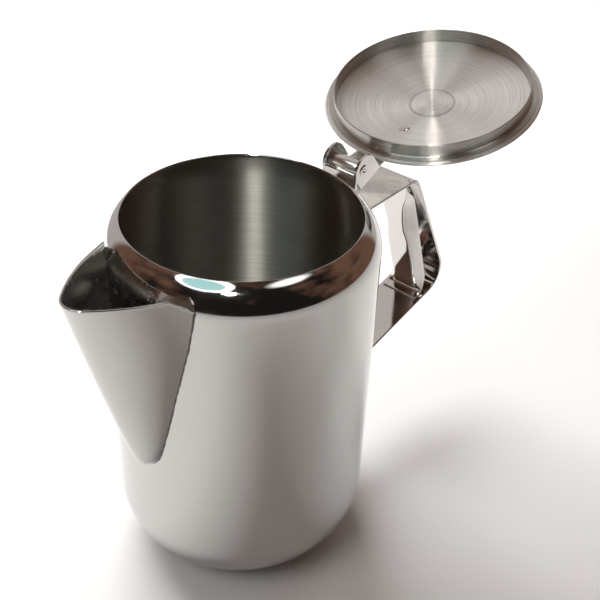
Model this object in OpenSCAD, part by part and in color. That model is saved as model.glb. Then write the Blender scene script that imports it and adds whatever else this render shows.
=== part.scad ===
// Stainless steel teapot: drawn pot with a folded spout, a hollow strap handle
// and a hinged lid, shown with the lid thrown open on its stop.
// Origin: centre of the base, on the axis of the pot. +Z up, spout towards -X,
// handle and hinge towards +X. Millimetres.

/* [Pot] */
// Outside diameter of the pot
pot_d = 108; // [106:0.5:110]
// Height of the pot, from the base to the mouth
pot_h = 157; // [155:0.5:160]
// Diameter of the mouth
mouth_d = 92.6; // [91.5:0.1:93]
// Radius of the rounded corner at the base
base_corner = 25; // [15:1:28]
// Radius of the bend with which the shoulder rolls in to the mouth
shoulder_r = 16.5; // [15.5:0.1:18]
// Thickness of the drawn and folded sheet
sheet = 0.8; // [0.6:0.1:1]

/* [Strainer] */
// Diameter of one strainer hole
strainer_hole_d = 4.6; // [3:0.1:5]
// Height of the top row of holes
strainer_top_z = 141; // [138:0.5:142]
// Angle between holes in a row
strainer_step = 15.4; // [13:0.1:16]
// Height between rows
strainer_row = 9; // [7:0.5:10]

/* [Spout] */
// Height of the spout's rim where it leaves the pot
spout_rim_z = 155.4; // [153:0.2:156]
// Rise of the spout's rim for each millimetre that it reaches out
spout_rim_slope = 0.064; // [0:0.004:0.12]
// Height of the foot of the spout's seam
spout_foot_z = 65; // [60:1:70]

/* [Handle] */
// Width of the outer strap
strap_w = 24; // [20:0.5:26]
// Thickness of the outer strap
strap_t = 1.2; // [1:0.1:1.5]
// Height of the strap's top surface
strap_top_z = 133; // [130:0.5:134]
// Reach of the outer strap's upper corner, where its faces would meet
strap_upper_x = 106.7; // [104:0.1:109]
// Reach of the outer strap's lower corner, where its faces would meet
strap_lower_x = 146; // [143:0.5:148]
// Height of the outer strap's lower corner, where its faces would meet
strap_lower_z = 59.2; // [58:0.2:62]
// Fall of the lower strap towards the pot, in millimetres per millimetre
strap_fall = 0.19; // [0.16:0.01:0.22]
// Height of the tab that is welded to the pot at each end
tab_h = 14; // [8:1:16]
// Width of the liner inside the grip
liner_w = 20; // [18:0.5:21]

/* [Hinge] */
// Reach of the hinge pin from the axis of the pot
pin_x = 65; // [64.5:0.1:66]
// Height of the hinge pin
pin_z = 152.4; // [152:0.1:153]
// Diameter of the hinge pin
pin_d = 3; // [2.5:0.1:3.2]
// Radial running clearance of the pin in the lid's knuckle
pin_clearance = 0.05; // [0.02:0.01:0.08]
// Width of the knuckle
knuckle_w = 15.2; // [13:0.2:15.4]
// Outside diameter of the knuckle
knuckle_d = 6.4; // [6:0.1:6.6]
// Angle through which the lid opens
lid_open = 164.9; // [160:0.1:166]

/* [Lid] */
// Outside diameter of the lid's hemmed flange
lid_d = 100.6; // [99:0.1:101]
// Height of the hem's centre above the mouth when the lid is shut
lid_seat = 1.6; // [1.5:0.1:2]
// Rise of the lid's dome
lid_rise = 4.9; // [3:0.1:6]
// Depth of the skirt below the hem's centre
skirt_depth = 7; // [5:0.5:8]
// Radial gap between the skirt and the mouth
skirt_gap = 0.6; // [0.4:0.1:1]
// Diameter of the recess that holds the knob
recess_d = 20.6; // [18:0.2:22]
// Depth of the recess
recess_depth = 1.2; // [0.8:0.1:1.6]
// Diameter of the knob
knob_d = 17; // [14:0.5:20]
// Height of the knob above the floor of its recess
knob_h = 14; // [12:0.5:18]

/* [Hidden] */
$fn = 96;

pot_r = pot_d / 2;
mouth_r = mouth_d / 2;
// The shoulder stops at the mouth, whose cut edge stands square to the sheet
shoulder_a = acos((mouth_r - pot_r + shoulder_r) / (shoulder_r - sheet));
shoulder_z = pot_h - shoulder_r * sin(shoulder_a);
bright = [0.80, 0.80, 0.81];
satin = [0.72, 0.71, 0.70];

// Points along an ellipse's arc, from angle a0 to a1
function ellipse_arc(cx, cz, rx, rz, a0, a1, n) =
    [for (i = [0 : n]) let (a = a0 + (a1 - a0) * i / n) [cx + rx * cos(a), cz + rz * sin(a)]];

// Where a tangent from point p meets the circle of radius r about c, on side s
function tangent_point(p, c, r, s) =
    let (d = p - c, a = atan2(d.y, d.x) + s * acos(r / norm(d))) c + r * [cos(a), sin(a)];

function reversed(v) = [for (i = [len(v) - 1 : -1 : 0]) v[i]];

// ---------------------------------------------------------------- pot body

// Half of the pot's outline, a distance d inside the outer surface
function pot_outline(d) = concat(
    [[0, d]],
    ellipse_arc(pot_r - base_corner, base_corner, base_corner - d, base_corner - d, -90, 0, 20),
    ellipse_arc(pot_r - shoulder_r, shoulder_z, shoulder_r - d, shoulder_r - d, 0, shoulder_a, 16));

// Holes in each row of the strainer, from the top down
strainer_holes = [3, 2, 3, 2, 1];

module body_shell() {
    color(bright)
    difference() {
        rotate_extrude() polygon(concat(pot_outline(0), reversed(pot_outline(sheet))));
        for (row = [0 : len(strainer_holes) - 1], i = [0 : strainer_holes[row] - 1])
            rotate([0, 0, 180 + strainer_step * (i - (strainer_holes[row] - 1) / 2)])
                translate([pot_r, 0, strainer_top_z - strainer_row * row])
                    rotate([0, 90, 0]) cylinder(d = strainer_hole_d, h = 6, center = true, $fn = 24);
    }
}

// ------------------------------------------------------------------- spout

// Sections from the foot up: height, half width at the pot, reach of the keel,
// radius of the nose. The heights are those of a level section at the pot.
spout_sections = [
    [spout_foot_z, 1.6, 54.9, 1.3],
    [66.5, 3.6, 57.4, 2.2],
    [70, 6.2, 59.8, 3],
    [76, 8.2, 61.9, 3.5],
    [84, 10.4, 64.3, 4],
    [94, 12.8, 67.3, 4.6],
    [106, 15.4, 70.8, 5.3],
    [118, 18.2, 74.2, 6],
    [130, 20.8, 77.5, 6.7],
    [140, 22.4, 80.2, 7.3],
    [145, 23, 81.5, 7.6],
    [149, 23.4, 82.6, 7.8],
    [152.4, 23.6, 83.5, 8],
    [spout_rim_z, 23.8, 84.2, 8.1]];
nose_steps = 12;
leg_steps = 14;
// Radius of a leg's bow, as a multiple of its length
leg_bow = 2.1;
// Space between the seam's edges and the pot, filled by the weld
weld_gap = 0.03;
// The rear corner beside the shoulder, on the -Y side, is ground down along a slope
grind_start_x = -58;
grind_slope = 41;

// One section of the spout, from one seam round the nose to the other, a distance d
// inside the outer surface
function spout_ring(s, d) =
    let (
        lift = (s[0] - spout_foot_z) / (spout_rim_z - spout_foot_z) * spout_rim_slope,
        nose = max(0.3, s[3] - d),
        keel = max(pot_r + 0.1, s[2] - d),
        centre = [nose - keel, 0],
        seam_a = asin(max(0.2, s[1] - d) / pot_r),
        seam = (pot_r + weld_gap) * [-cos(seam_a), sin(seam_a)],
        w = seam - centre,
        bow = leg_bow * norm(w),
        k = (w * w + (bow - nose) * (bow - nose) - bow * bow) / (2 * (bow - nose)),
        turn = acos(k / norm(w)) - atan2(w.y, w.x),
        leg_centre = centre + (bow - nose) * [cos(turn), -sin(turn)],
        a_seam = atan2(seam.y - leg_centre.y, seam.x - leg_centre.x),
        half = concat(
            [for (i = [0 : nose_steps - 1])
                centre + nose * [-cos(turn * i / nose_steps), sin(turn * i / nose_steps)]],
            [for (i = [0 : leg_steps]) let (a = (180 - turn) + (a_seam - 180 + turn) * i / leg_steps)
                leg_centre + bow * [cos(a), sin(a)]]),
        whole = concat([for (i = [len(half) - 1 : -1 : 1]) [half[i].x, -half[i].y]], half))
    [for (p = whole) [p.x, p.y, s[0] + lift * max(0, -p.x - pot_r)]];

module spout_sheet() {
    outer = [for (s = spout_sections) spout_ring(s, 0)];
    inner = [for (s = spout_sections) spout_ring(s, sheet)];
    n = len(outer[0]);
    m = len(outer);
    loops = [for (i = [0 : m - 1]) concat(outer[i], reversed(inner[i]))];
    polyhedron(
        points = [for (l = loops) for (p = l) p],
        faces = concat(
            [for (i = [0 : m - 2]) for (j = [0 : 2 * n - 1]) let (k = (j + 1) % (2 * n))
                [i * 2 * n + j, (i + 1) * 2 * n + j, (i + 1) * 2 * n + k]],
            [for (i = [0 : m - 2]) for (j = [0 : 2 * n - 1]) let (k = (j + 1) % (2 * n))
                [i * 2 * n + j, (i + 1) * 2 * n + k, i * 2 * n + k]],
            [for (j = [0 : n - 2]) [j, j + 1, 2 * n - 1 - j]],
            [for (j = [0 : n - 2]) [j + 1, 2 * n - 2 - j, 2 * n - 1 - j]],
            [for (j = [0 : n - 2]) let (b = (m - 1) * 2 * n) [b + j, b + 2 * n - 1 - j, b + j + 1]],
            [for (j = [0 : n - 2])
                let (b = (m - 1) * 2 * n) [b + j + 1, b + 2 * n - 1 - j, b + 2 * n - 2 - j]]));
}

module spout() {
    color(bright)
    difference() {
        spout_sheet();
        translate([grind_start_x, -30, spout_rim_z + 0.3])
            rotate([0, grind_slope, 0]) cube([20, 20, 8]);
    }
}

// ------------------------------------------------------------------ handle

// A corner at v, between the points a and b, rounded to radius r
function corner_arc(a, v, b, r) =
    let (
        u = (a - v) / norm(a - v),
        w = (b - v) / norm(b - v),
        half = acos(u * w) / 2,
        c = v + (u + w) / norm(u + w) * r / sin(half),
        p = v + u * r / tan(half),
        q = v + w * r / tan(half),
        a0 = atan2(p.y - c.y, p.x - c.x),
        a1 = atan2(q.y - c.y, q.x - c.x),
        sweep = ((a1 - a0 + 540) % 360) - 180)
    [for (i = [0 : 12]) c + r * [cos(a0 + sweep * i / 12), sin(a0 + sweep * i / 12)]];

upper_corner = [strap_upper_x, strap_top_z];
lower_corner = [strap_lower_x, strap_lower_z];
upper_end = [pot_r - 2, strap_top_z];
lower_end = [pot_r - 2, strap_lower_z - strap_fall * (strap_lower_x - pot_r + 2)];
upper_bend = 7.5;
lower_bend = 12;

// The corners of the outline move in by d along both faces
function inset_corner(a, v, b, d) =
    let (u = (a - v) / norm(a - v), w = (b - v) / norm(b - v), half = acos(u * w) / 2)
    v + (u + w) / norm(u + w) * d / sin(half);

// The strap's outline, a distance d inside its outer surface
function strap_outline(d) =
    let (
        v1 = inset_corner(upper_end, upper_corner, lower_corner, d),
        v2 = inset_corner(upper_corner, lower_corner, lower_end, d),
        e1 = upper_end - [0, d],
        e2 = lower_end + d * [-strap_fall, 1] / norm([strap_fall, 1]))
    concat([e1], corner_arc(e1, v1, v2, upper_bend - d), corner_arc(v1, v2, e2, lower_bend - d), [e2]);

module along_y(w) {
    rotate([90, 0, 0]) translate([0, 0, -w / 2]) linear_extrude(w) children();
}

// A tab that lies against the pot's wall, from height z0 to z1
module wall_tab(z0, z1) {
    intersection() {
        translate([0, 0, z0]) difference() {
            cylinder(r = pot_r + strap_t, h = z1 - z0);
            translate([0, 0, -1]) cylinder(r = pot_r, h = z1 - z0 + 2);
        }
        translate([0, -strap_w / 2, z0 - 1]) cube([pot_r + 5, strap_w, z1 - z0 + 2]);
    }
}

module handle_strap() {
    lower_z = strap_lower_z - strap_fall * (strap_lower_x - pot_r);
    color(bright) {
        difference() {
            along_y(strap_w) polygon(concat(strap_outline(0), reversed(strap_outline(strap_t))));
            cylinder(r = pot_r, h = pot_h);
        }
        wall_tab(strap_top_z - tab_h, strap_top_z - 0.1);
        wall_tab(lower_z + 1 - tab_h, lower_z + 1);
    }
}

// The liner is folded from one strip: a tail under the top strap, a face down the
// finger side of the grip with a leaf-shaped flange along each edge, and a short tail
// on the lower strap. It is lofted from sections across its path.
liner_t = 0.8;
liner_slope = 0.353;
liner_face_x = 106.5;
liner_face_z = 110;
liner_top_z = strap_top_z - strap_t - liner_t;
liner_top_bend = 5;
liner_foot_bend = 1.2;
liner_start_x = 84;
liner_tail = 4;
flange_depth = 5.2;
flange_top_z = 130;
flange_foot_z = 54;
flange_fade = 12;
face_steps = 14;
// Half width of the face at heights from the lower strap up
face_half = [[50, liner_w / 2], [58, 6.8], [66, 6.3], [80, 6.7], [93, 6.3], [99, 4.8],
             [106, 5], [116, 6.8], [123, 9.4], [127, liner_w / 2]];

function smooth(t) = let (c = min(1, max(0, t))) c * c * (3 - 2 * c);

// Reach of the liner's face at height z
function face_x(z) = liner_face_x + liner_slope * (liner_face_z - z);

// Height of the lower strap's upper surface at reach x
function floor_z(x) =
    strap_lower_z - strap_fall * (strap_lower_x - x) + strap_t * norm([strap_fall, 1]);

// Stations along the liner: [point on the finger side, angle of the outward normal]
face_a = atan(liner_slope);
floor_a = -90 + atan(strap_fall);
top_c = let (z = liner_top_z - liner_top_bend)
    [face_x(z) - liner_top_bend * norm([1, liner_slope]), z];
foot_rise = (liner_foot_bend + liner_t) * norm([strap_fall, 1]);
foot_x = (face_x(0) - liner_foot_bend * norm([1, liner_slope]) - liner_slope * (floor_z(0) + foot_rise))
    / (1 + liner_slope * strap_fall);
foot_c = [foot_x, floor_z(foot_x) + foot_rise];
function around(c, r, a0, a1, n) =
    [for (i = [0 : n]) let (a = a0 + (a1 - a0) * i / n) [c + r * [cos(a), sin(a)], a]];
face_top = top_c + liner_top_bend * [cos(face_a), sin(face_a)];
face_foot = foot_c + liner_foot_bend * [cos(face_a), sin(face_a)];
foot_end = foot_c + liner_foot_bend * [cos(floor_a), sin(floor_a)];
liner_path = concat(
    [[[liner_start_x, liner_top_z], 90]],
    around(top_c, liner_top_bend, 90, face_a, 6),
    [for (i = [1 : face_steps - 1]) [face_top + (face_foot - face_top) * i / face_steps, face_a]],
    around(foot_c, liner_foot_bend, face_a, floor_a, 4),
    [[foot_end - liner_tail * [cos(floor_a + 90), sin(floor_a + 90)], floor_a]]);

// A section across the liner: the finger side from -Y to +Y, then the other side back
function liner_ring(p, a) =
    let (
        half = lookup(p.y, face_half),
        out = liner_w / 2,
        deep = a > 89 || a < 0 ? 0
            : flange_depth * smooth((flange_top_z - p.y) / flange_fade)
                * smooth((p.y - flange_foot_z) / flange_fade),
        wide = max(0.4, out - half),
        run = norm([wide, deep]),
        fold = atan2(deep, wide),
        side = [[half + wide, deep], [half, 0]],
        back = [[half + wide - liner_t * deep / run, deep + liner_t * wide / run],
                [half - liner_t * tan(fold / 2), liner_t]],
        loop = [[-side[0].x, side[0].y], [-side[1].x, 0], side[1], side[0],
                back[0], back[1], [-back[1].x, back[1].y], [-back[0].x, back[0].y]])
    [for (q = loop) [p.x + q.y * cos(a), q.x, p.y + q.y * sin(a)]];

module handle_liner() {
    rings = [for (s = liner_path) liner_ring(s[0], s[1])];
    n = len(rings[0]);
    m = len(rings);
    b = (m - 1) * n;
    color(satin)
    polyhedron(
        points = [for (r = rings) for (p = r) p],
        faces = concat(
            [for (i = [0 : m - 2]) for (j = [0 : n - 1]) let (k = (j + 1) % n)
                [i * n + j, i * n + k, (i + 1) * n + k]],
            [for (i = [0 : m - 2]) for (j = [0 : n - 1]) let (k = (j + 1) % n)
                [i * n + j, (i + 1) * n + k, (i + 1) * n + j]],
            [for (j = [0 : 2]) [j, n - 1 - j, n - 2 - j]],
            [for (j = [0 : 2]) [j, n - 2 - j, j + 1]],
            [for (j = [0 : 2]) [b + j, b + n - 2 - j, b + n - 1 - j]],
            [for (j = [0 : 2]) [b + j, b + j + 1, b + n - 2 - j]]));
}

// ------------------------------------------------------------------- hinge

ear_c = [67, 151.3];
ear_r = 7;
ear_t = 1.2;
ear_low = [64.4, 143];
ear_out = [77.6, 149.1];
ear_gap = knuckle_w + 0.6;
web_x = 60.2;
web_top_z = 150.4;
// The web leaves the wall at one height and turns upright at another
web_wall_z = 139.6;
web_bend_z = 144.4;
web_root_x = pot_r - 2;

module ear() {
    along_y(ear_t) {
        difference() {
            union() {
                translate(ear_c) circle(r = ear_r);
                polygon([tangent_point(ear_low, ear_c, ear_r, -1), ear_low, ear_out,
                         tangent_point(ear_out, ear_c, ear_r, 1), ear_c]);
            }
            translate([pin_x, pin_z]) circle(d = pin_d);
        }
    }
}

module hinge_bracket() {
    color(bright)
    difference() {
        union() {
            for (s = [-1, 1]) translate([0, s * (ear_gap + ear_t) / 2, 0]) ear();
            along_y(ear_gap + 2 * ear_t - 0.02)
                polygon([[web_x, web_top_z], [web_x, web_bend_z + 1], [web_root_x, web_wall_z],
                         [web_root_x, strap_top_z], [pot_r + ear_t, strap_top_z],
                         [pot_r + ear_t, web_wall_z], [web_x + ear_t, web_bend_z],
                         [web_x + ear_t, web_top_z]]);
        }
        cylinder(r = pot_r, h = pot_h);
    }
}

module hinge_pin() {
    length = ear_gap + 2 * ear_t;
    head_d = pin_d + 1.8;
    head_t = 0.5;
    eye_d = 1.6;
    color(satin)
    translate([pin_x, 0, pin_z]) rotate([90, 0, 0]) difference() {
        union() {
            cylinder(d = pin_d, h = length, center = true);
            for (s = [-1, 1]) translate([0, 0, s * (length + head_t) / 2])
                cylinder(d = head_d, h = head_t, center = true);
        }
        for (s = [-1, 1]) translate([0, 0, s * length / 2])
            cylinder(d = eye_d, h = 4, center = true);
    }
}

// --------------------------------------------------------------------- lid
// The lid's pieces are drawn shut, with the hem's centre at hem_z, and then thrown open

hem_z = pot_h + lid_seat;
hem_r = 0.75;
lid_r = lid_d / 2;
skirt_r = mouth_r - skirt_gap;
skirt_t = 0.7;

module thrown_open() {
    translate([pin_x, 0, pin_z]) rotate([0, lid_open, 0]) translate([-pin_x, 0, -pin_z]) children();
}

// Height of the cover's underside at radius r
dome_r = skirt_r + 0.8;
recess_r = recess_d / 2;
function cover_z(r) =
    hem_z - sheet / 2 + lid_rise * (1 - pow(min(r, dome_r) / dome_r, 2))
    - recess_depth * max(0, 1 - pow(r / recess_r, 2));

function cover_line(d) = concat(
    [for (i = [0 : 8]) let (r = recess_r * i / 8) [r, cover_z(r) + d]],
    [for (i = [1 : 10]) let (r = recess_r + (dome_r - recess_r) * i / 10) [r, cover_z(r) + d]],
    [[lid_r - hem_r, hem_z - sheet / 2 + d]]);

module lid_cover() {
    color(satin)
    thrown_open() rotate_extrude() {
        polygon(concat(cover_line(0), reversed(cover_line(sheet))));
        translate([lid_r - hem_r, hem_z]) circle(r = hem_r, $fn = 32);
    }
}

module lid_skirt() {
    top = hem_z - sheet / 2;
    foot = hem_z - skirt_depth;
    color(satin)
    thrown_open() rotate_extrude() {
        translate([skirt_r - skirt_t, foot + skirt_t / 2]) square([skirt_t, top - foot - skirt_t / 2]);
        translate([skirt_r - skirt_t / 2, foot + skirt_t / 2]) circle(d = skirt_t, $fn = 32);
        translate([skirt_r - skirt_t, top - 0.6]) square([3.4, 0.6]);
    }
}

// The leaf's underside, from the knuckle over the hem and up the dome
leaf_t = 1;
leaf_end_x = 19;
leaf_lift = 0.12;
leaf_line = concat(
    [[pin_x, pin_z + knuckle_d / 2 - leaf_t], [60.8, pin_z + knuckle_d / 2 - leaf_t + 0.2],
     [54.8, 158.5], [52.6, 159.4], [50.8, 159.6], [46, 159.6]],
    [for (x = [40, 34, 28, leaf_end_x]) [x, cover_z(x) + sheet + leaf_lift]]);

module lid_hinge_leaf() {
    color(satin)
    thrown_open() difference() {
        union() {
            translate([pin_x, 0, pin_z]) rotate([90, 0, 0])
                cylinder(d = knuckle_d, h = knuckle_w, center = true);
            along_y(knuckle_w)
                polygon(concat(leaf_line, reversed([for (p = leaf_line) p + [0, leaf_t]])));
        }
        translate([pin_x, 0, pin_z]) rotate([90, 0, 0])
            cylinder(d = pin_d + 2 * pin_clearance, h = knuckle_w + 2, center = true);
    }
}

module lid_knob() {
    foot_r = 5;
    seat_z = cover_z(foot_r) + sheet;
    crown_r = knob_d / 2;
    crown_h = 5.4;
    color(bright)
    thrown_open() translate([0, 0, seat_z]) rotate_extrude()
        polygon(concat(
            [[0, 0], [foot_r, 0], [foot_r, 1], [3.6, 2.4], [3.4, 4], [4.2, 5.6]],
            ellipse_arc(0, knob_h - crown_h, crown_r, 3, -50, 0, 6),
            ellipse_arc(0, knob_h - crown_h, crown_r, crown_h, 8, 90, 12)));
}

body_shell();
spout();
handle_strap();
handle_liner();
hinge_bracket();
hinge_pin();
lid_cover();
lid_skirt();
lid_hinge_leaf();
lid_knob();
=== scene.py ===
import math

import bmesh
import bpy
from mathutils import Matrix, Vector, noise


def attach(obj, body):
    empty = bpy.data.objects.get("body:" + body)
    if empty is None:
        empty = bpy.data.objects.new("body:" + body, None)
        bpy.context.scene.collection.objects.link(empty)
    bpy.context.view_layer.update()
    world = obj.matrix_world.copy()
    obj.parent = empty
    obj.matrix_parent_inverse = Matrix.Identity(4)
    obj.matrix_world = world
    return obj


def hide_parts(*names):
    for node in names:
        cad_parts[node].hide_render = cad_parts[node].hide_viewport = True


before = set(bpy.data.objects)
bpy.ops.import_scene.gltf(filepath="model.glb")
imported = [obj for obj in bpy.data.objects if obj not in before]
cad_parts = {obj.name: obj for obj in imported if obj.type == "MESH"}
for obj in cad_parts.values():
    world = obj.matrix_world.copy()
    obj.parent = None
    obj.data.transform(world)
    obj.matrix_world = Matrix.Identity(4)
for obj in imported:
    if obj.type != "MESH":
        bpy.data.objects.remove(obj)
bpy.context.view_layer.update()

# Sizes in millimetres and angles in degrees, as in the CAD source
POT_R, POT_H, MOUTH_R, CORNER, SHOULDER_R, SHEET = 54.0, 157.0, 46.3, 25.0, 16.5, 0.8
HOLE_D, HOLE_TOP, HOLE_STEP, HOLE_ROW, HOLES = 4.6, 141.0, 15.4, 9.0, (3, 2, 3, 2, 1)
PIN_X, PIN_Z, OPEN = 65.0, 152.4, 164.9
HEM_Z, LID_R, HEM_R, SKIRT_R, SKIRT_T, SKIRT_DEPTH = 158.6, 50.3, 0.75, 45.7, 0.7, 7.0
RECESS_R, RECESS = 10.3, 1.2
MM = 0.001


# ------------------------------------------------------------------ meshes
def build(name, verts, faces, mats, body="pot", matrix=None, node=None,
          sharp=48, index=None):
    """A piece from points in millimetres, smooth but for edges sharper than the angle."""
    me = bpy.data.meshes.new(name)
    me.from_pydata([(v[0] * MM, v[1] * MM, v[2] * MM) for v in verts], [], faces)
    for m in mats:
        me.materials.append(m)
    if index:
        for p, i in zip(me.polygons, index):
            p.material_index = i
    return place(name, me, body, matrix, node, sharp)


def place(name, me, body, matrix, node, sharp):
    """An object that rides on the body and may stand for a CAD node."""
    bm = bmesh.new()
    bm.from_mesh(me)
    bmesh.ops.remove_doubles(bm, verts=bm.verts, dist=1e-7)
    bmesh.ops.recalc_face_normals(bm, faces=bm.faces)
    for f in bm.faces:
        f.smooth = True
    for e in bm.edges:
        e.smooth = not (len(e.link_faces) == 2 and e.calc_face_angle(0) > math.radians(sharp))
    bm.to_mesh(me)
    bm.free()
    o = bpy.data.objects.new(name, me)
    bpy.context.scene.collection.objects.link(o)
    if matrix is not None:
        o.matrix_world = matrix
    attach(o, body)
    if node:
        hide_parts(node)
    return o


def lathe(outline, n=256, tags=None):
    """Points and faces of a closed outline [(r, z)] turned about Z, with a tag for each face."""
    verts, rows, faces, index = [], [], [], []
    for r, z in outline:
        if r < 1e-6:
            rows.append([len(verts)] * n)
            verts.append((0, 0, z))
        else:
            rows.append(range(len(verts), len(verts) + n))
            verts += [(r * math.cos(2 * math.pi * k / n), r * math.sin(2 * math.pi * k / n), z)
                      for k in range(n)]
    for i in range(len(outline)):
        j = (i + 1) % len(outline)
        if outline[i][0] < 1e-6 and outline[j][0] < 1e-6:
            continue
        for k in range(n):
            m = (k + 1) % n
            f = [rows[i][k], rows[i][m], rows[j][m], rows[j][k]]
            faces.append([v for s, v in enumerate(f) if v not in f[:s]])
            index.append(tags[i] if tags else 0)
    return verts, faces, index


def arc(cx, cz, rx, rz, a0, a1, n):
    """Points on an ellipse from a0 to a1 degrees, both ends included."""
    return [(cx + rx * math.cos(math.radians(a0 + (a1 - a0) * i / n)),
             cz + rz * math.sin(math.radians(a0 + (a1 - a0) * i / n))) for i in range(n + 1)]


def line(p, q, n):
    """Points from p to q, both ends included."""
    return [(p[0] + (q[0] - p[0]) * i / n, p[1] + (q[1] - p[1]) * i / n) for i in range(n + 1)]


def smooth(t):
    """An even step from 0 to 1."""
    t = min(1.0, max(0.0, t))
    return t * t * (3 - 2 * t)


def table(x, rows):
    """The value at x, in straight lines between the rows (x, value)."""
    if x <= rows[0][0]:
        return rows[0][1]
    for (a, u), (b, v) in zip(rows, rows[1:]):
        if x <= b:
            return u + (v - u) * (x - a) / (b - a)
    return rows[-1][1]


def normals(P):
    """Normals of a grid of points."""
    n, m = len(P), len(P[0])
    out = []
    for i in range(n):
        row = []
        for j in range(m):
            u = P[min(i + 1, n - 1)][j] - P[max(i - 1, 0)][j]
            v = P[i][min(j + 1, m - 1)] - P[i][max(j - 1, 0)]
            row.append(u.cross(v).normalized())
        out.append(row)
    return out


def sheet(P, t, rounded=(1, 1, 1, 1), flip=False):
    """A bent sheet: a grid of points P and a second skin at distance t, with rounded rims
    (first row, last row, first column, last column). Returns verts, faces and a tag per face:
    0 on the first skin and the rims, 1 on the second skin."""
    n, m = len(P), len(P[0])
    N = normals(P)
    if flip:
        N = [[-v for v in row] for row in N]
    P = [list(r) for r in P]
    edge = {}
    loop = ([(0, j) for j in range(m)] + [(i, m - 1) for i in range(1, n)]
            + [(n - 1, j) for j in range(m - 2, -1, -1)] + [(i, 0) for i in range(n - 2, 0, -1)])
    for i, j in loop:
        d = Vector((0, 0, 0))
        if i == 0 and rounded[0]:
            d += (P[0][j] - P[1][j]).normalized()
        if i == n - 1 and rounded[1]:
            d += (P[n - 1][j] - P[n - 2][j]).normalized()
        if j == 0 and rounded[2]:
            d += (P[i][0] - P[i][1]).normalized()
        if j == m - 1 and rounded[3]:
            d += (P[i][m - 1] - P[i][m - 2]).normalized()
        edge[i, j] = d * (t / 2)
    for (i, j), d in edge.items():
        P[i][j] = P[i][j] - d
    verts = [P[i][j] for i in range(n) for j in range(m)]
    verts += [P[i][j] + N[i][j] * t for i in range(n) for j in range(m)]
    faces, index = [], []
    for i in range(n - 1):
        for j in range(m - 1):
            a, b, c, d = i * m + j, i * m + j + 1, (i + 1) * m + j + 1, (i + 1) * m + j
            faces += [[a, b, c, d], [v + n * m for v in (d, c, b, a)]]
            index += [0, 1]
    rings = [[i * m + j for i, j in loop]]
    for k in (1, 2, 3):
        a = math.pi * k / 4
        ring = []
        for i, j in loop:
            ring.append(len(verts))
            verts.append(P[i][j] + N[i][j] * (t / 2 * (1 - math.cos(a)))
                         + edge[i, j] * math.sin(a))
        rings.append(ring)
    rings.append([i * m + j + n * m for i, j in loop])
    for r, s in zip(rings, rings[1:]):
        for k in range(len(loop)):
            q = (k + 1) % len(loop)
            faces.append([r[k], s[k], s[q], r[q]])
            index.append(0)
    return verts, faces, index


def joined(*parts):
    """Several (verts, faces, index) in one."""
    verts, faces, index = [], [], []
    for v, f, i in parts:
        faces += [[k + len(verts) for k in g] for g in f]
        verts += list(v)
        index += list(i) if i else [0] * len(f)
    return verts, faces, index


def turned(part, matrix):
    """The part with its points moved by the matrix."""
    return [matrix @ Vector(v) for v in part[0]], part[1], part[2]


def plate(outline, y0, y1, bevel=0.25):
    """A flat plate in XZ with rounded rims."""
    bm = bmesh.new()
    low = [bm.verts.new((x, y0, z)) for x, z in outline]
    high = [bm.verts.new((x, y1, z)) for x, z in outline]
    ends = [bm.faces.new(low), bm.faces.new(list(reversed(high)))]
    n = len(outline)
    for k in range(n):
        bm.faces.new([low[k], high[k], high[(k + 1) % n], low[(k + 1) % n]])
    edges = list({e for f in ends for e in f.edges})
    bmesh.ops.bevel(bm, geom=edges, offset=bevel, segments=3, affect="EDGES", profile=0.5)
    bm.verts.index_update()
    out = [v.co.copy() for v in bm.verts], [[v.index for v in f.verts] for f in bm.faces], None
    bm.free()
    return out


def rounded_path(points, radii, step=1.0):
    """Points along a polyline whose inner corners are rounded."""
    out = [Vector(points[0])]
    for k in range(1, len(points) - 1):
        v = Vector(points[k])
        u = (Vector(points[k - 1]) - v).normalized()
        w = (Vector(points[k + 1]) - v).normalized()
        half = u.angle(w) / 2
        r = radii[k - 1]
        c = v + (u + w).normalized() * (r / math.sin(half))
        p, q = v + u * (r / math.tan(half)), v + w * (r / math.tan(half))
        a0 = math.atan2(p.y - c.y, p.x - c.x)
        a1 = math.atan2(q.y - c.y, q.x - c.x)
        sweep = (a1 - a0 + math.pi) % (2 * math.pi) - math.pi
        n = 14
        out += [c + r * Vector((math.cos(a0 + sweep * i / n), math.sin(a0 + sweep * i / n)))
                for i in range(n + 1)]
    out.append(Vector(points[-1]))
    fine = [out[0]]
    for a, b in zip(out, out[1:]):
        n = max(1, round((b - a).length / step))
        fine += [a.lerp(b, i / n) for i in range(1, n + 1)]
    return fine


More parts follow.
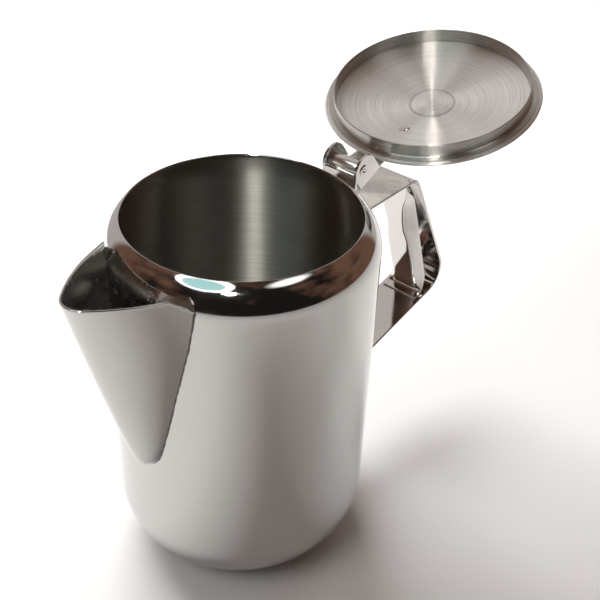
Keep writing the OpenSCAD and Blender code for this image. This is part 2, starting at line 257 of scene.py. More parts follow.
# --------------------------------------------------------------- materials
class Nodes:
    """A short way to write a material's node tree."""

    def __init__(self, name):
        self.mat = bpy.data.materials.new(name)
        self.mat.use_nodes = True
        self.t = self.mat.node_tree
        self.bsdf = self.t.nodes["Principled BSDF"]

    def add(self, kind, props=None, **ins):
        n = self.t.nodes.new(kind)
        for k, v in (props or {}).items():
            setattr(n, k, v)
        for k, v in ins.items():
            self.set(n, k.replace("_", " "), v)
        return n

    def set(self, n, key, v):
        s = n.inputs[int(key)] if key.isdigit() else n.inputs[key]
        if isinstance(v, bpy.types.NodeSocket):
            self.t.links.new(v, s)
        else:
            s.default_value = v

    def math(self, op, a, b=0.0):
        n = self.t.nodes.new("ShaderNodeMath")
        n.operation = op
        self.set(n, "0", a)
        self.set(n, "1", b)
        return n.outputs[0]

    def ramp(self, v, a, b, lo, hi):
        n = self.add("ShaderNodeMapRange", {"interpolation_type": "SMOOTHSTEP"})
        for k, x in zip(("Value", "From Min", "From Max", "To Min", "To Max"), (v, a, b, lo, hi)):
            self.set(n, k, x)
        return n.outputs[0]

    def noise(self, vec, scale, detail=2.0, rough=0.5):
        n = self.add("ShaderNodeTexNoise", Vector=vec, Scale=scale, Detail=detail, Roughness=rough)
        return n.outputs[0]

    def out(self, **ins):
        for k, v in ins.items():
            self.set(self.bsdf, k.replace("_", " "), v)
        return self.mat


def steel(name, color, rough, smudge=0.05, wave=0.0, fine=0.0):
    """Polished sheet: faint smudges, and a slow unevenness of the sheet."""
    s = Nodes(name)
    at = s.add("ShaderNodeTexCoord").outputs["Object"]
    marks = s.ramp(s.noise(at, 38.0, 4.0, 0.6), 0.45, 0.75, 0.0, smudge)
    specks = s.ramp(s.noise(at, 420.0, 2.0, 0.7), 0.62, 0.8, 0.0, smudge * 0.6)
    ins = dict(Base_Color=color + (1,), Metallic=1.0,
               Roughness=s.math("ADD", s.math("ADD", marks, specks), rough))
    if wave or fine:
        h = s.math("MULTIPLY", s.noise(at, 16.0, 1.0, 0.4), wave)
        if fine:
            h = s.math("ADD", h, s.math("MULTIPLY", s.noise(at, 900.0, 3.0, 0.6), fine))
        ins["Normal"] = s.add("ShaderNodeBump", Strength=1.0, Distance=0.001,
                              Height=h).outputs["Normal"]
    return s.out(**ins)


def brushed(name, color, rough, rings, depth, streak, metal=1.0, dish=None):
    """Steel brushed or turned about the piece's own Z axis. rings is how fine the lines are along
    (radius, height), and streak how fine the sectors are round the axis. Inside the radius dish the
    finish is finer, and a dark line painted into the colour round it stands for the shade at the
    recess's edge."""
    s = Nodes(name)
    at = s.add("ShaderNodeTexCoord").outputs["Object"]
    sep = s.add("ShaderNodeSeparateXYZ", Vector=at)
    x, y, z = sep.outputs
    r = s.math("SQRT", s.math("ADD", s.math("MULTIPLY", x, x), s.math("MULTIPLY", y, y)))
    a = s.math("ARCTAN2", y, x)
    # round the axis the lines are long, so the angle counts for little
    lines = s.add("ShaderNodeCombineXYZ", X=s.math("MULTIPLY", r, rings[0]),
                  Y=s.math("MULTIPLY", z, rings[1]), Z=s.math("MULTIPLY", a, 0.7)).outputs[0]
    n1 = s.noise(lines, 1.0, 3.0, 0.65)
    n2 = s.noise(lines, 0.22, 2.0, 0.5)
    sectors = s.add("ShaderNodeCombineXYZ", X=s.math("MULTIPLY", a, streak),
                    Y=s.math("MULTIPLY", r, 12.0), Z=s.math("MULTIPLY", z, 6.0)).outputs[0]
    n3 = s.noise(sectors, 1.0, 2.0, 0.5)
    tone = s.math("ADD", s.ramp(n1, 0.35, 0.7, 0.0, 0.5), s.math("MULTIPLY", n3, 0.2))
    if dish:
        # painted shade: the colour darkens in a thin ring at the recess's edge
        off = s.math("ABSOLUTE", s.math("SUBTRACT", r, dish))
        tone = s.math("ADD", tone, s.ramp(off, 0.0002, 0.0009, 0.7, 0.0))
        rough = s.ramp(r, dish - 0.0006, dish, rough * 0.85, rough)
    col = s.add("ShaderNodeMix", {"data_type": "RGBA"})
    s.set(col, "Factor", tone)
    col.inputs[6].default_value = color + (1,)
    col.inputs[7].default_value = tuple(0.6 * c for c in color) + (1,)
    bump = s.add("ShaderNodeBump", Strength=1.0, Distance=0.001,
                 Height=s.math("MULTIPLY", s.math("ADD", n1, n2), depth)).outputs["Normal"]
    tangent = s.add("ShaderNodeTangent", {"direction_type": "RADIAL", "axis": "Z"}).outputs[0]
    # a quarter turn spreads the shine across the lines
    return s.out(Base_Color=col.outputs[2], Metallic=metal,
                 Anisotropic=1.0, Anisotropic_Rotation=0.25,
                 Roughness=s.math("MULTIPLY", s.ramp(n1, 0.2, 0.8, 0.8, 1.25), rough),
                 Normal=bump, Tangent=tangent)


polished = steel("polished_steel", (0.56, 0.555, 0.545), 0.06, 0.06, wave=0.05)
polished_spout = steel("polished_spout", (0.575, 0.568, 0.557), 0.09, 0.06, wave=0.2)
strap_steel = steel("strap_steel", (0.66, 0.64, 0.625), 0.08, 0.06, wave=0.2)
liner_steel = steel("liner_steel", (0.66, 0.645, 0.63), 0.07, 0.05, wave=0.35)
hinge_steel = steel("hinge_steel", (0.64, 0.625, 0.61), 0.12, 0.1, wave=0.1, fine=0.03)
weld_steel = steel("weld_steel", (0.15, 0.135, 0.125), 0.40, 0.1, fine=0.08)
inner_steel = brushed("brushed_inside", (0.50, 0.495, 0.455), 0.36, (0.0, 1500.0), 0.06, 6.0)
spout_inner = steel("spout_inside", (0.62, 0.60, 0.575), 0.26, 0.1, wave=0.3)
turned_steel = brushed("turned_steel", (0.83, 0.81, 0.775), 0.38, (1700.0, 0.0), 0.04, 3.0,
                       metal=0.76, dish=RECESS_R * MM)
ring_steel = brushed("ring_steel", (0.62, 0.605, 0.58), 0.30, (0.0, 1500.0), 0.03, 4.0)
knuckle_steel = steel("knuckle_steel", (0.70, 0.69, 0.665), 0.28, 0.12, wave=0.1, fine=0.06)


# -------------------------------------------------------------------- pot
SHOULDER_A = math.degrees(math.acos((MOUTH_R - POT_R + SHOULDER_R) / (SHOULDER_R - SHEET)))
SHOULDER_Z = POT_H - SHOULDER_R * math.sin(math.radians(SHOULDER_A))


def pot_line(d):
    """Half section of the pot from the axis to the mouth, a distance d inside its outside."""
    return (line((0, d), (POT_R - CORNER, d), 6)[:-1]
            + arc(POT_R - CORNER, CORNER, CORNER - d, CORNER - d, -90, 0, 36)
            + line((POT_R - d, CORNER), (POT_R - d, SHOULDER_Z), 26)[1:-1]
            + arc(POT_R - SHOULDER_R, SHOULDER_Z, SHOULDER_R - d, SHOULDER_R - d, 0, SHOULDER_A, 40))


def body_shell():
    """The pot, with the edge at the mouth rubbed round and the strainer holes cut out."""
    outer, inner = pot_line(0), pot_line(SHEET)
    a = math.radians(SHOULDER_A)
    along, across = Vector((-math.sin(a), math.cos(a))), Vector((math.cos(a), math.sin(a)))
    rub = 0.2
    lip = []
    for end, sign, turns in ((outer[-1], -1, (0, 30, 60, 90)), (inner[-1], 1, (90, 60, 30, 0))):
        lip += [Vector(end) + along * -rub * (1 - math.sin(math.radians(b)))
                + across * (sign * rub) * (1 - math.cos(math.radians(b))) for b in turns]
    outer, inner = outer[:-1], inner[:-1]
    outline = outer + [tuple(p) for p in lip] + inner[::-1]
    tags = [0] * (len(outer) + len(lip)) + [1] * len(inner)
    tags[-1] = 0
    v, f, i = lathe(outline, 288, tags)
    holes = []
    for row, count in enumerate(HOLES):
        for k in range(count):
            a = math.radians(180 + HOLE_STEP * (k - (count - 1) / 2))
            m = (Matrix.Rotation(a, 4, "Z")
                 @ Matrix.Translation((POT_R - SHEET / 2, 0, HOLE_TOP - HOLE_ROW * row))
                 @ Matrix.Rotation(math.pi / 2, 4, "Y"))
            c = lathe([(0, -3), (HOLE_D / 2, -3), (HOLE_D / 2, 3), (0, 3)], 40)
            holes.append(turned(c, m))
    hv, hf, _ = joined(*holes)
    me = bpy.data.meshes.new("cut")
    me.from_pydata([tuple(p * MM for p in q) for q in hv], [], hf)
    bm = bmesh.new()
    bm.from_mesh(me)
    bmesh.ops.recalc_face_normals(bm, faces=bm.faces)
    bm.to_mesh(me)
    bm.free()
    cutter = bpy.data.objects.new("cut", me)
    bpy.context.scene.collection.objects.link(cutter)
    o = build("pot_body", v, f, [polished, inner_steel], node="body_shell",
              index=i)
    mod = o.modifiers.new("holes", "BOOLEAN")
    mod.object, mod.operation, mod.solver = cutter, "DIFFERENCE", "EXACT"
    dg = bpy.context.evaluated_depsgraph_get()
    done = bpy.data.meshes.new_from_object(o.evaluated_get(dg), depsgraph=dg)
    o.modifiers.clear()
    o.data = done
    bpy.data.objects.remove(cutter)
    # in a box round the holes, in metres, the corners take the straight wall's own normal
    have = [Vector(c.vector) for c in done.corner_normals]
    for p in done.polygons:
        c = p.center
        if c.x < -0.03 and 0.09 < c.z < 0.1435 and abs(c.y) < 0.03:
            out = Vector((c.x, c.y, 0)).normalized()
            if abs(p.normal.dot(out)) > 0.9:
                sign = 1 if p.normal.dot(out) > 0 else -1
                for k in p.loop_indices:
                    q = done.vertices[done.loops[k].vertex_index].co
                    have[k] = Vector((q.x, q.y, 0)).normalized() * sign
            else:
                for k in p.loop_indices:
                    have[k] = p.normal.copy()
    done.normals_split_custom_set(have)


body_shell()

# ------------------------------------------------------------------ spout
FOOT_Z, RIM_Z, RIM_SLOPE, BOW = 65.0, 155.4, 0.064, 2.1
SEAM_GAP, NOSE_SHARE = 0.03, 0.35
GRIND_X, GRIND_Z, GRIND_SLOPE = -58.0, 155.7, 41.0
# height at the pot, seam's half width, reach of the keel, radius of the nose
SPOUT = [(65, 1.6, 54.9, 1.3), (66.5, 3.6, 57.4, 2.2), (70, 6.2, 59.8, 3), (76, 8.2, 61.9, 3.5),
         (84, 10.4, 64.3, 4), (94, 12.8, 67.3, 4.6), (106, 15.4, 70.8, 5.3), (118, 18.2, 74.2, 6),
         (130, 20.8, 77.5, 6.7), (140, 22.4, 80.2, 7.3), (145, 23, 81.5, 7.6),
         (149, 23.4, 82.6, 7.8), (152.4, 23.6, 83.5, 8), (155.4, 23.8, 84.2, 8.1)]


def spout_point(z, u):
    """A point of the spout's outside: z is the height at the pot, u runs from -1 at the -Y
    seam through 0 at the keel to 1 at the +Y seam."""
    seam_y, keel, nose = (table(z, [(s[0], s[k]) for s in SPOUT]) for k in (1, 2, 3))
    c = Vector((nose - keel, 0))
    a = math.asin(seam_y / POT_R)
    seam = Vector((-math.cos(a), math.sin(a))) * (POT_R + SEAM_GAP)
    w = seam - c
    bow = BOW * w.length
    k = (w.length_squared + (bow - nose) ** 2 - bow * bow) / (2 * (bow - nose))
    turn = math.acos(k / w.length) - math.atan2(w.y, w.x)
    leg_c = c + Vector((math.cos(turn), -math.sin(turn))) * (bow - nose)
    a_seam = math.atan2(seam.y - leg_c.y, seam.x - leg_c.x)
    t = abs(u)
    if t < NOSE_SHARE:
        b = turn * t / NOSE_SHARE
        p = c + Vector((-math.cos(b), math.sin(b))) * nose
    else:
        b = (math.pi - turn) + (a_seam - math.pi + turn) * (t - NOSE_SHARE) / (1 - NOSE_SHARE)
        p = leg_c + Vector((math.cos(b), math.sin(b))) * bow
    lift = (z - FOOT_Z) / (RIM_Z - FOOT_Z) * RIM_SLOPE
    return Vector((p.x, p.y if u > 0 else -p.y, z + lift * max(0.0, -p.x - POT_R)))


def spout_rim(u):
    """Height at the pot where the sheet ends: level, but ground down at the -Y rear corner."""
    if u > -0.4:
        return RIM_Z
    lo, hi = 140.0, RIM_Z
    for _ in range(30):
        mid = (lo + hi) / 2
        p = spout_point(mid, u)
        if p.z < GRIND_Z - (p.x - GRIND_X) * math.tan(math.radians(GRIND_SLOPE)):
            lo = mid
        else:
            hi = mid
    return lo


def spout():
    """The folded sheet, in rows from the foot to the rim."""
    rows, cols = 72, 120
    P = []
    for i in range(rows + 1):
        row = []
        for j in range(cols + 1):
            u = -1 + 2 * j / cols
            row.append(spout_point(FOOT_Z + (spout_rim(u) - FOOT_Z) * i / rows, u))
        P.append(row)
    v, f, i = sheet(P, SHEET, (0, 1, 0, 0), flip=True)
    build("spout_sheet", v, f, [polished_spout, spout_inner], node="spout",
          index=i)


def spout_weld(name, side, n=110, m=10):
    """The weld along a seam: a thin, uneven bead in n lengths of m sides."""
    foot, top = FOOT_Z + 0.3, spout_rim(side) - 0.8
    verts = []
    for k in range(n + 1):
        z = foot + (top - foot) * k / n
        p = spout_point(z, side)
        thick = noise.noise(Vector((z * 0.9, side * 3.1, 0.5)))
        sway = noise.noise(Vector((z * 2.1, side * 7.7, 4.5)))
        # above the wall the bead fills what the shoulder's bend leaves open
        gap = SHOULDER_R - math.sqrt(SHOULDER_R ** 2 - max(0.0, z - SHOULDER_Z) ** 2)
        fill = gap * (1 - smooth((gap - 2.2) / 1.2))
        r = 0.34 + 0.16 * thick + 0.5 * fill
        out = Vector((p.x, p.y, 0)).normalized()
        along = Vector((0, 0, 1)).cross(out) * -side
        c = p + out * (0.12 - 0.5 * fill) + along * (-0.1 + 0.22 * sway)
        verts += [c + (out * math.cos(b) + along * math.sin(b)) * r
                  for b in (2 * math.pi * q / m for q in range(m))]
    faces = [[i * m + j, i * m + (j + 1) % m, (i + 1) * m + (j + 1) % m, (i + 1) * m + j]
             for i in range(n) for j in range(m)]
    faces += [list(range(m)), list(range(n * m + m - 1, n * m - 1, -1))]
    build(name, verts, faces, [weld_steel], sharp=80)


spout()
spout_weld("spout_weld_near", -1)
spout_weld("spout_weld_far", 1)

# ----------------------------------------------------------------- handle
STRAP_W, STRAP_T, STRAP_Z, FALL = 24.0, 1.2, 133.0, 0.19
UPPER_X, LOWER_X, LOWER_Z = 106.7, 146.0, 59.2
UPPER_TAB, LOWER_TAB = 14.0, 12.5
LINER_T, LINER_HALF, LINER_X, SLOPE, FACE_X, FACE_Z = 0.8, 10.0, 84.0, 0.353, 106.5, 110.0
LINER_BEND, LINER_FOOT, LINER_TAIL, FLANGE_DEPTH = 5.0, 1.2, 4.0, 5.2
SPOTS = [(93.5, -7.0), (93.5, 7.0)]


def wall_drop(y):
    """How far the wall lies behind its front at the distance y from the middle."""
    return POT_R - math.sqrt(POT_R ** 2 - y * y)


def strap():
    """The strap's outside runs from the upper tab over the corners to the lower tab."""
    low = LOWER_Z - FALL * (LOWER_X - POT_R - STRAP_T)
    path = rounded_path([(POT_R + STRAP_T, STRAP_Z - UPPER_TAB), (POT_R + STRAP_T, STRAP_Z),
                         (UPPER_X, STRAP_Z), (LOWER_X, LOWER_Z), (POT_R + STRAP_T, low),
                         (POT_R + STRAP_T, low - LOWER_TAB)], [0.6, 7.5, 12, 1.8], 0.8)
    cols = 44
    P = []
    for q in path:
        w = 1 - smooth((q.x - POT_R - STRAP_T) / 9)
        row = []
        for j in range(cols + 1):
            y = -STRAP_W / 2 + STRAP_W * j / cols
            z = q.y
            if q.y > STRAP_Z - 0.01:
                # spot welds leave shallow rings in the top
                for sx, sy in SPOTS:
                    r = math.hypot(q.x - sx, y - sy)
                    z -= 0.10 * math.exp(-((r - 3.2) / 0.5) ** 2) + 0.05 * smooth(3.4 - r)
            row.append(Vector((q.x - w * wall_drop(y), y, z)))
        P.append(row)
    v, f, i = sheet(P, STRAP_T, flip=True)
    build("handle_strap_sheet", v, f, [strap_steel], node="handle_strap")


def face_x(z):
    """Reach of the liner's face at height z."""
    return FACE_X + SLOPE * (FACE_Z - z)


def floor_z(x):
    """Height of the lower leg's upper side."""
    return LOWER_Z - FALL * (LOWER_X - x) + STRAP_T * math.hypot(FALL, 1)


# half width of the liner's face by height
HALF = [(50, 10), (58, 6.8), (66, 6.3), (80, 6.6), (92.5, 6.3), (96, 5.4), (99, 4.7), (106, 5.0),
        (112, 5.9), (117, 7.2), (121, 8.8), (127, 10)]


def liner():
    """The liner runs from under the strap down the grip and out along the lower leg. Each
    station of it is a point and the angle of its outward normal."""
    top_z = STRAP_Z - STRAP_T - LINER_T
    k = math.hypot(1, SLOPE)
    bend, foot = LINER_BEND, LINER_FOOT
    # tc and fc are the centres of the two bends, and fa and ga the angles of face and foot
    tc = Vector((face_x(top_z - bend) - bend * k, top_z - bend))
    rise = (foot + LINER_T) * math.hypot(FALL, 1)
    fx = (face_x(0) - foot * k - SLOPE * (floor_z(0) + rise)) / (1 + SLOPE * FALL)
    fc = Vector((fx, floor_z(fx) + rise))
    fa, ga = math.atan(SLOPE), -math.pi / 2 + math.atan(FALL)
    st = [(Vector((LINER_X + (tc.x - LINER_X) * i / 8, top_z)), math.pi / 2) for i in range(8)]
    st += [(tc + bend * Vector((math.cos(a), math.sin(a))), a)
           for a in (math.pi / 2 + (fa - math.pi / 2) * i / 12 for i in range(13))]
    a, b = st[-1][0], fc + foot * Vector((math.cos(fa), math.sin(fa)))
    st += [(a.lerp(b, i / 90), fa) for i in range(1, 90)]
    st += [(fc + foot * Vector((math.cos(g), math.sin(g))), g)
           for g in (fa + (ga - fa) * i / 8 for i in range(9))]
    end = st[-1][0]
    back = Vector((math.cos(ga + math.pi / 2), math.sin(ga + math.pi / 2)))
    st += [(end - back * (LINER_TAIL * i / 5), ga) for i in range(1, 6)]
    P = []
    for p, ang in st:
        half = table(p.y, HALF)
        deep = 0.0
        if 0 < ang < 1.56:
            deep = FLANGE_DEPTH * smooth((130 - p.y) / 12) * smooth((p.y - 54) / 12)
        wide = max(0.4, LINER_HALF - half)
        n = Vector((math.cos(ang), math.sin(ang)))
        # from the -Y free edge over a rounded crease to the face, and back out
        soft = min(1.1, wide * 0.45)
        pts = [(half + wide * (1 - i / 6), deep * (1 - i / 6)) for i in range(6)]
        pts = [q for q in pts if q[0] > half + soft]
        while len(pts) < 6:
            y = (pts[-1][0] + half + soft) / 2
            pts.append((y, deep * (y - half) / wide))
        s0 = Vector((half + soft, deep * soft / wide))
        s1 = Vector((half, 0.0))
        s2 = Vector((half - soft, 0.0))
        crease = [s0 * (1 - t) ** 2 + s1 * 2 * t * (1 - t) + s2 * t * t
                  for t in (i / 6 for i in range(7))]
        near = (pts + [(q.x, q.y) for q in crease]
                + [((half - soft) * (1 - i / 5), 0.0) for i in range(1, 6)])
        across = [(-y, d) for y, d in near] + [(y, d) for y, d in reversed(near[:-1])]
        P.append([Vector((p.x + n.x * d, y, p.y + n.y * d)) for y, d in across])
    v, f, i = sheet(P, LINER_T)
    build("handle_liner_sheet", v, f, [liner_steel], node="handle_liner",
          sharp=60)


strap()
liner()


# ------------------------------------------------------------------ hinge
def tangent(p, c, r, s):
    """Where a line from p touches the circle, on the side s."""
    d = Vector(p) - Vector(c)
    a = math.atan2(d.y, d.x) + s * math.acos(r / d.length)
    return Vector(c) + r * Vector((math.cos(a), math.sin(a)))


EAR_Y, EAR_T, WEB_W = 8.5, 1.2, 18.0


def hinge():
    """Two ears round the pin, the web between them against the shoulder, and the pin."""
    c, r, low, out = (67, 151.3), 7.0, (64.4, 143), (77.6, 149.1)
    t0, t1 = tangent(low, c, r, -1), tangent(out, c, r, 1)
    a0 = math.degrees(math.atan2(t1.y - c[1], t1.x - c[0]))
    a1 = math.degrees(math.atan2(t0.y - c[1], t0.x - c[0])) % 360
    ear = [low, out] + arc(c[0], c[1], r, r, a0, a1, 44)
    parts = [plate(ear, s * EAR_Y - EAR_T / 2, s * EAR_Y + EAR_T / 2) for s in (-1, 1)]
    web = [(60.2, 150.4), (60.2, 145.4), (54.6, 141), (54.2, 133), (55.2, 133), (55.2, 139.6),
           (61.4, 144.4), (61.4, 150.4)]
    parts.append(plate(web, -WEB_W / 2, WEB_W / 2, 0.2))
    v, f, i = joined(*parts)
    build("hinge_ears", v, f, [hinge_steel], node="hinge_bracket")
    # the pin has a rolled rivet head with an eye at each end
    end, pin_r = EAR_Y + EAR_T / 2, 1.5
    half = [(0, end - 1.5), (0.7, end - 1.3), (0.8, end + 0.25), (1.0, end + 0.45),
            (1.5, end + 0.5), (2.1, end + 0.4), (2.4, end + 0.2), (2.4, end + 0.02), (pin_r, end)]
    outline = half + [(r, -z) for r, z in reversed(half)]
    m = Matrix.Translation((PIN_X, 0, PIN_Z)) @ Matrix.Rotation(math.pi / 2, 4, "X")
    v, f, i = turned(lathe(outline, 48), m)
    build("hinge_rivet", v, f, [hinge_steel], node="hinge_pin")


hinge()

# -------------------------------------------------------------------- lid
# Lid pieces are built about the lid's own axis, with the hem's centre at height 0
PIN = Matrix.Translation((PIN_X * MM, 0, PIN_Z * MM))
LID = (PIN @ Matrix.Rotation(math.radians(OPEN), 4, "Y") @ PIN.inverted()
       @ Matrix.Translation((0, 0, HEM_Z * MM)))
DOME_R, RISE = SKIRT_R + 0.8, 4.9


def cover_z(r):
    """Height of the cover's underside at the radius r."""
    return (-SHEET / 2 + RISE * (1 - (min(r, DOME_R) / DOME_R) ** 2)
            - RECESS * max(0.0, 1 - (r / RECESS_R) ** 2))


def lid():
    """Cover, skirt, knob, knuckle with its leaf, and two spot welds."""
    rs = ([RECESS_R * i / 24 for i in range(25)]
          + [RECESS_R + (DOME_R - RECESS_R) * i / 60 for i in range(1, 61)])
    end = LID_R - HEM_R
    under = [(r, cover_z(r)) for r in rs] + [(DOME_R + (end - DOME_R) * 0.4, -SHEET / 2)]
    upper = [(r, z + SHEET) for r, z in under]
    a = math.degrees(math.asin(SHEET / 2 / HEM_R))
    hem = arc(end, 0, HEM_R, HEM_R, -180 + a, 180 - a, 30)
    v, f, i = lathe(under + hem + upper[::-1], 256)
    build("lid_top", v, f, [turned_steel], "lid", LID, "lid_cover")
    foot = -SKIRT_DEPTH
    ring = ([(SKIRT_R - SKIRT_T, -SHEET / 2), (SKIRT_R - SKIRT_T, foot + 1.5)]
            + arc(SKIRT_R - SKIRT_T / 2, foot + SKIRT_T / 2, SKIRT_T / 2, SKIRT_T / 2, 180, 360, 10)
            + [(SKIRT_R, -1.8)] + arc(SKIRT_R + 0.8, -1.8, 0.8, 0.8, 180, 90, 6)[1:]
            + [(SKIRT_R + 2.6, -1.0), (SKIRT_R + 2.6, -SHEET / 2)])
    v, f, i = lathe(ring, 256)
    build("lid_skirt_ring", v, f, [ring_steel], "lid", LID, "lid_skirt")
    # the knob stands in the dish
    h = 14.0
    base = cover_z(5) + SHEET
    prof = ([(0, 0), (5, 0), (5, 0.6), (4.7, 1.0), (4.0, 1.5), (3.6, 2.4), (3.4, 4), (3.7, 5.0),
             (4.4, 5.9)] + arc(0, h - 5.4, 8.5, 3, -45, 0, 8) + arc(0, h - 5.4, 8.5, 5.4, 6, 90, 20))
    v, f, i = lathe([(r, z + base) for r, z in prof], 128)
    build("lid_knob_turned", v, f, [polished], "lid", LID, "lid_knob")
    # the knuckle turns on the pin, and its leaf lies along the top of the cover
    px, pz = PIN_X, PIN_Z - HEM_Z
    half, r, bore, thick = 7.6, 3.2, 1.55, 1.0
    barrel = lathe([(bore, -half), (r - 0.3, -half), (r, 0.3 - half), (r, half - 0.3),
                    (r - 0.3, half), (bore, half)], 64)
    barrel = turned(barrel, Matrix.Translation((px, 0, pz)) @ Matrix.Rotation(math.pi / 2, 4, "X"))
    top = pz + r - thick
    pts = [(px, top), (60.8, top + 0.2), (54.8, -0.1), (52.6, 0.8), (50.8, 1.0), (46, 1.0)]
    pts += [(x, cover_z(x) + SHEET + 0.12) for x in (40, 34, 28, 19.0)]
    P = []
    for x, z in rounded_path(pts, [2, 2, 1.5, 1.5, 3, 9, 9, 9], 1.0):
        P.append([Vector((x, -half + 2 * half * j / 16, z)) for j in range(17)])
    leaf = sheet(P, thick, flip=True)
    v, f, i = joined(barrel, leaf)
    build("lid_leaf", v, f, [knuckle_steel], "lid", LID, "lid_hinge_leaf")
    # two spot welds show through on the underside
    dot = lathe([(0, 0.2), (1.5, 0.2), (1.4, -0.12), (1.0, -0.38), (0.5, -0.48), (0, -0.5)], 32)
    dots = [turned(dot, Matrix.Translation((x, y, cover_z(math.hypot(x, y)))))
            for x, y in ((24.8, -0.2), (22.5, -1.3))]
    v, f, i = joined(*dots)
    build("lid_spot_welds", v, f, [hinge_steel], "lid", LID)


lid()


# ------------------------------------------------------- floor, light, camera
def emitter(name, color, strength, soft=False):
    """Light that is all colour, for the lamp's shapes. A soft one fades towards its edge."""
    s = Nodes(name)
    if soft:
        x, y, _ = s.add("ShaderNodeSeparateXYZ",
                        Vector=s.add("ShaderNodeTexCoord").outputs["Generated"]).outputs
        x, y = s.math("SUBTRACT", x, 0.5), s.math("SUBTRACT", y, 0.5)
        away = s.math("SQRT", s.math("ADD", s.math("MULTIPLY", x, x), s.math("MULTIPLY", y, y)))
        strength = s.ramp(away, 0.08, 0.5, strength, 0.0)
    e = s.add("ShaderNodeEmission", Color=color + (1,), Strength=strength)
    s.t.links.new(e.outputs[0], s.t.nodes["Material Output"].inputs[0])
    return s.mat


def stage_mesh(name, verts, faces, mat):
    """A floor or lamp, which is no piece of the pot."""
    me = bpy.data.meshes.new(name)
    me.from_pydata(verts, [], faces)
    me.materials.append(mat)
    o = bpy.data.objects.new(name, me)
    bpy.context.scene.collection.objects.link(o)
    return o


def disc(x, y, z, rx, ry=None):
    """Points round a level ellipse."""
    ry = rx if ry is None else ry
    return [(x + rx * math.cos(a), y + ry * math.sin(a), z)
            for a in (2 * math.pi * k / DISC_N for k in range(DISC_N))]


# Lengths from here on are in metres
DISC_N = 96
WHOLE = [list(range(DISC_N))]
RING = [[k, (k + 1) % DISC_N, DISC_N + (k + 1) % DISC_N, DISC_N + k] for k in range(DISC_N)]
FLOOR_R, FLOOR_END = 0.9, 40.0
LAMP_X, LAMP_Y, LAMP_Z, LAMP_R, GLOW_R = -0.64, -0.01, 1.0, 0.35, 0.265

# the steel mirrors only the near part of the floor, as if it were a table in a dim room
pale = Nodes("pale_floor").out(Base_Color=(0.80, 0.80, 0.795, 1), Roughness=0.8)
stage_mesh("floor", disc(0, 0, 0, FLOOR_R), WHOLE, pale)
beyond = stage_mesh("floor_beyond", disc(0, 0, 0, FLOOR_R) + disc(0, 0, 0, FLOOR_END), RING, pale)
beyond.visible_glossy = False

# a round lamp overhead on the spout's side, a bright ring round a dimmer diffuser, and two
# soft ones beside it. The steel mirrors them, but they light nothing else.
warm = (1.0, 0.97, 0.93)
lamps = [
    stage_mesh("lamp_ring",
               disc(LAMP_X, LAMP_Y, LAMP_Z, LAMP_R) + disc(LAMP_X, LAMP_Y, LAMP_Z, GLOW_R),
               RING, emitter("lamp_white", (1.0, 0.98, 0.95), 4.5)),
    stage_mesh("lamp_diffuser", disc(LAMP_X, LAMP_Y, LAMP_Z + 0.01, GLOW_R), WHOLE,
               emitter("lamp_teal", (0.36, 0.60, 0.60), 1.9)),
    stage_mesh("lamp_small", disc(-0.76, -0.46, LAMP_Z, 0.10), WHOLE,
               emitter("lamp_small", warm, 290.0, soft=True)),
    stage_mesh("lamp_wide", disc(0.06, -0.58, LAMP_Z, 0.34, 0.20), WHOLE,
               emitter("lamp_wide", warm, 3.5, soft=True))]
for o in lamps:
    o.visible_shadow = o.visible_diffuse = False


LIT = Vector((0, 0, 0.05))


def area(name, az, el, dist, size, watts, color=(1, 1, 1)):
    """A soft light at that azimuth and elevation from the pot, in degrees. The steel does not
    mirror it."""
    L = bpy.data.lights.new(name, "AREA")
    L.shape, L.size, L.size_y, L.energy, L.color = "RECTANGLE", size[0], size[1], watts, color
    o = bpy.data.objects.new(name, L)
    bpy.context.scene.collection.objects.link(o)
    a, e = math.radians(az), math.radians(el)
    o.location = (dist * math.cos(a) * math.cos(e), dist * math.sin(a) * math.cos(e),
                  dist * math.sin(e))
    o.rotation_euler = (LIT - o.location).to_track_quat("-Z", "Y").to_euler()
    o.visible_glossy = False


area("key", 66, 38, 1.15, (0.9, 0.6), 23, (1.0, 0.995, 0.985))
area("left", 170, 50, 1.0, (0.5, 0.5), 2.2)

world = bpy.data.worlds.new("studio")
bpy.context.scene.world = world
world.use_nodes = True
wt = world.node_tree


def wnode(kind, props=None, **ins):
    """A node of the world. An input is named, or numbered as i0, i1 and so on."""
    n = wt.nodes.new(kind)
    for k, v in (props or {}).items():
        setattr(n, k, v)
    for k, v in ins.items():
        numbered = k[0] == "i" and k[1:].isdigit()
        s = n.inputs[int(k[1:]) if numbered else k.replace("_", " ")]
        if isinstance(v, bpy.types.NodeSocket):
            wt.links.new(v, s)
        else:
            s.default_value = v
    return n


def wmath(operation, *ins):
    """The result of a world node that does that sum."""
    return wnode("ShaderNodeMath", {"operation": operation},
                 **{"i%d" % k: v for k, v in enumerate(ins)}).outputs[0]


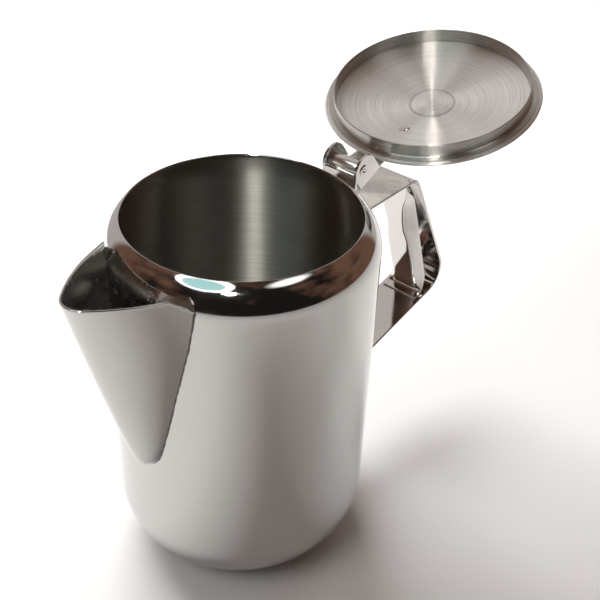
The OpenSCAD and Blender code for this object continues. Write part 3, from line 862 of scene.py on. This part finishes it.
look = wnode("ShaderNodeTexCoord").outputs["Generated"]
x, y, _ = wnode("ShaderNodeSeparateXYZ", Vector=look).outputs
# a pale backdrop behind the pot, and a dim brown room before it, darker in its middle
BEHIND_X, BEHIND_Y = 0.676, 0.737
flat = wmath("SQRT", wmath("MULTIPLY_ADD", x, x, wmath("MULTIPLY", y, y)))
behind = wmath("MULTIPLY_ADD", x, BEHIND_X, wmath("MULTIPLY", y, BEHIND_Y))
side = wnode("ShaderNodeMapRange", {"interpolation_type": "SMOOTHSTEP"},
             Value=wmath("DIVIDE", behind, flat), From_Min=0.54, From_Max=0.66)
cells = wnode("ShaderNodeTexNoise", Vector=look, Scale=2.6, Detail=3.0, Roughness=0.5)
middle = wnode("ShaderNodeMapRange", Value=behind, From_Min=-0.85, From_Max=-0.05,
               To_Min=-0.26, To_Max=0.13)
room = wnode("ShaderNodeValToRGB", i0=wmath("ADD", cells.outputs[0], middle.outputs[0]))
dark, brown = room.color_ramp.elements
dark.position, dark.color = 0.40, (0.016, 0.013, 0.013, 1)
brown.position, brown.color = 0.66, (0.20, 0.105, 0.068, 1)
backdrop = wnode("ShaderNodeRGB")
backdrop.outputs[0].default_value = (0.62, 0.575, 0.56, 1)
mix = wnode("ShaderNodeMix", {"data_type": "RGBA"}, i0=side.outputs[0], i6=room.outputs[0],
            i7=backdrop.outputs[0])
wt.links.new(mix.outputs[2], wt.nodes["Background"].inputs[0])

# the photograph's point of view
cam = bpy.data.cameras.new("camera")
cam.sensor_width, cam.lens, cam.shift_y = 36.0, 56.07, -0.1
cam.clip_start, cam.clip_end = 0.01, 20
cam_o = bpy.data.objects.new("camera", cam)
bpy.context.scene.collection.objects.link(cam_o)
right = Vector((0.64275, -0.76523, 0.03603))
up = Vector((0.39331, 0.36999, 0.84167))
back = -Vector((0.65741, 0.52681, -0.53878))
cam_o.matrix_world = (Matrix.Translation((-0.223839, -0.207847, 0.339668))
                      @ Matrix((right, up, back)).transposed().to_4x4())
bpy.context.scene.camera = cam_o
bpy.context.scene.view_settings.view_transform = "Standard"
